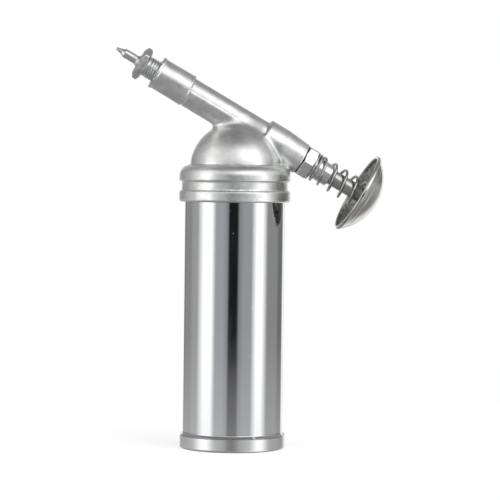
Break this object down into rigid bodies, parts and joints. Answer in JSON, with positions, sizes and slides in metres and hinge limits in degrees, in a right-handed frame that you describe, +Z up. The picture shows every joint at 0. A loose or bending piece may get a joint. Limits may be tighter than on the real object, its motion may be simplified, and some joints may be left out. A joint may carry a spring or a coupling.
{
  "type": "grease gun",
  "caption": "Small push-type grease gun: upright steel barrel, screw-on cast head with a slanted plunger pump, sprung palm button and pointed nozzle.",
  "frame": {"origin": "centre of the bottom cap's underside", "axes": "+Z up along the barrel, -X towards the nozzle and +X towards the palm button, with the pump axis in the XZ plane"},
  "size_m": [0.1082, 0.0444, 0.1596],
  "materials": {
    "chrome_plate": "mirror-polished plating on steel sheet",
    "satin_steel": "satin pressed steel",
    "cast_zinc": "tumbled die-cast zinc with fine pits",
    "bright_steel": "bright turned steel",
    "zinc_plate": "bright zinc plating on turned steel",
    "spring_steel": "drawn spring wire",
    "polished_steel": "ground and polished steel rod",
    "black_rubber": "matt black nitrile rubber",
    "packing_fibre": "pressed fibre packing"
  },
  "bodies": {
    "barrel": {"barrel_tube": "chrome_plate", "bottom_cap": "satin_steel", "follower_spring": "spring_steel"},
    "follower": {"follower_plate": "bright_steel", "follower_cup": "black_rubber", "follower_rivet": "bright_steel"},
    "gasket": {"barrel_gasket": "black_rubber"},
    "head": {"head_casting": "cast_zinc", "nozzle": "bright_steel", "valve_spring": "spring_steel", "rod_packing": "packing_fibre", "gland_gasket": "black_rubber", "gland_nut": "zinc_plate", "spring_washer": "spring_steel", "return_spring": "spring_steel"},
    "check_valve": {"check_ball": "bright_steel"},
    "plunger": {"plunger": "polished_steel", "piston_ring": "black_rubber", "push_button": "chrome_plate", "button_hub": "bright_steel"}
  },
  "joints": [
    {"name": "follower_slide", "type": "slide", "parent": "barrel", "child": "follower", "axis": [0, 0, 1], "range_m": [-0.065, 0], "stiffness_N_per_m": 60, "springref_m": 0.02, "deforming": ["follower_spring"]},
    {"name": "head_rise", "type": "slide", "parent": "barrel", "child": "gasket", "axis": [0, 0, 1], "range_m": [0, 0.00751]},
    {"name": "head_screw", "type": "hinge", "parent": "gasket", "child": "head", "pos_m": [0, 0, 0.105], "axis": [0, 0, 1], "range_deg": [0, 1800]},
    {"name": "plunger_push", "type": "slide", "parent": "head", "child": "plunger", "axis": [-0.866, 0, 0.5], "range_m": [0, 0.012], "stiffness_N_per_m": 600, "springref_m": -0.006, "deforming": ["return_spring"]},
    {"name": "check_lift", "type": "slide", "parent": "head", "child": "check_valve", "axis": [-0.866, 0, 0.5], "range_m": [0, 0.0009], "stiffness_N_per_m": 100, "springref_m": -0.002, "deforming": ["valve_spring"]}
  ],
  "couplings": [
    {"joint": "head_rise", "follows": "head_screw", "m_per_rad": 0.00023873}
  ]
}
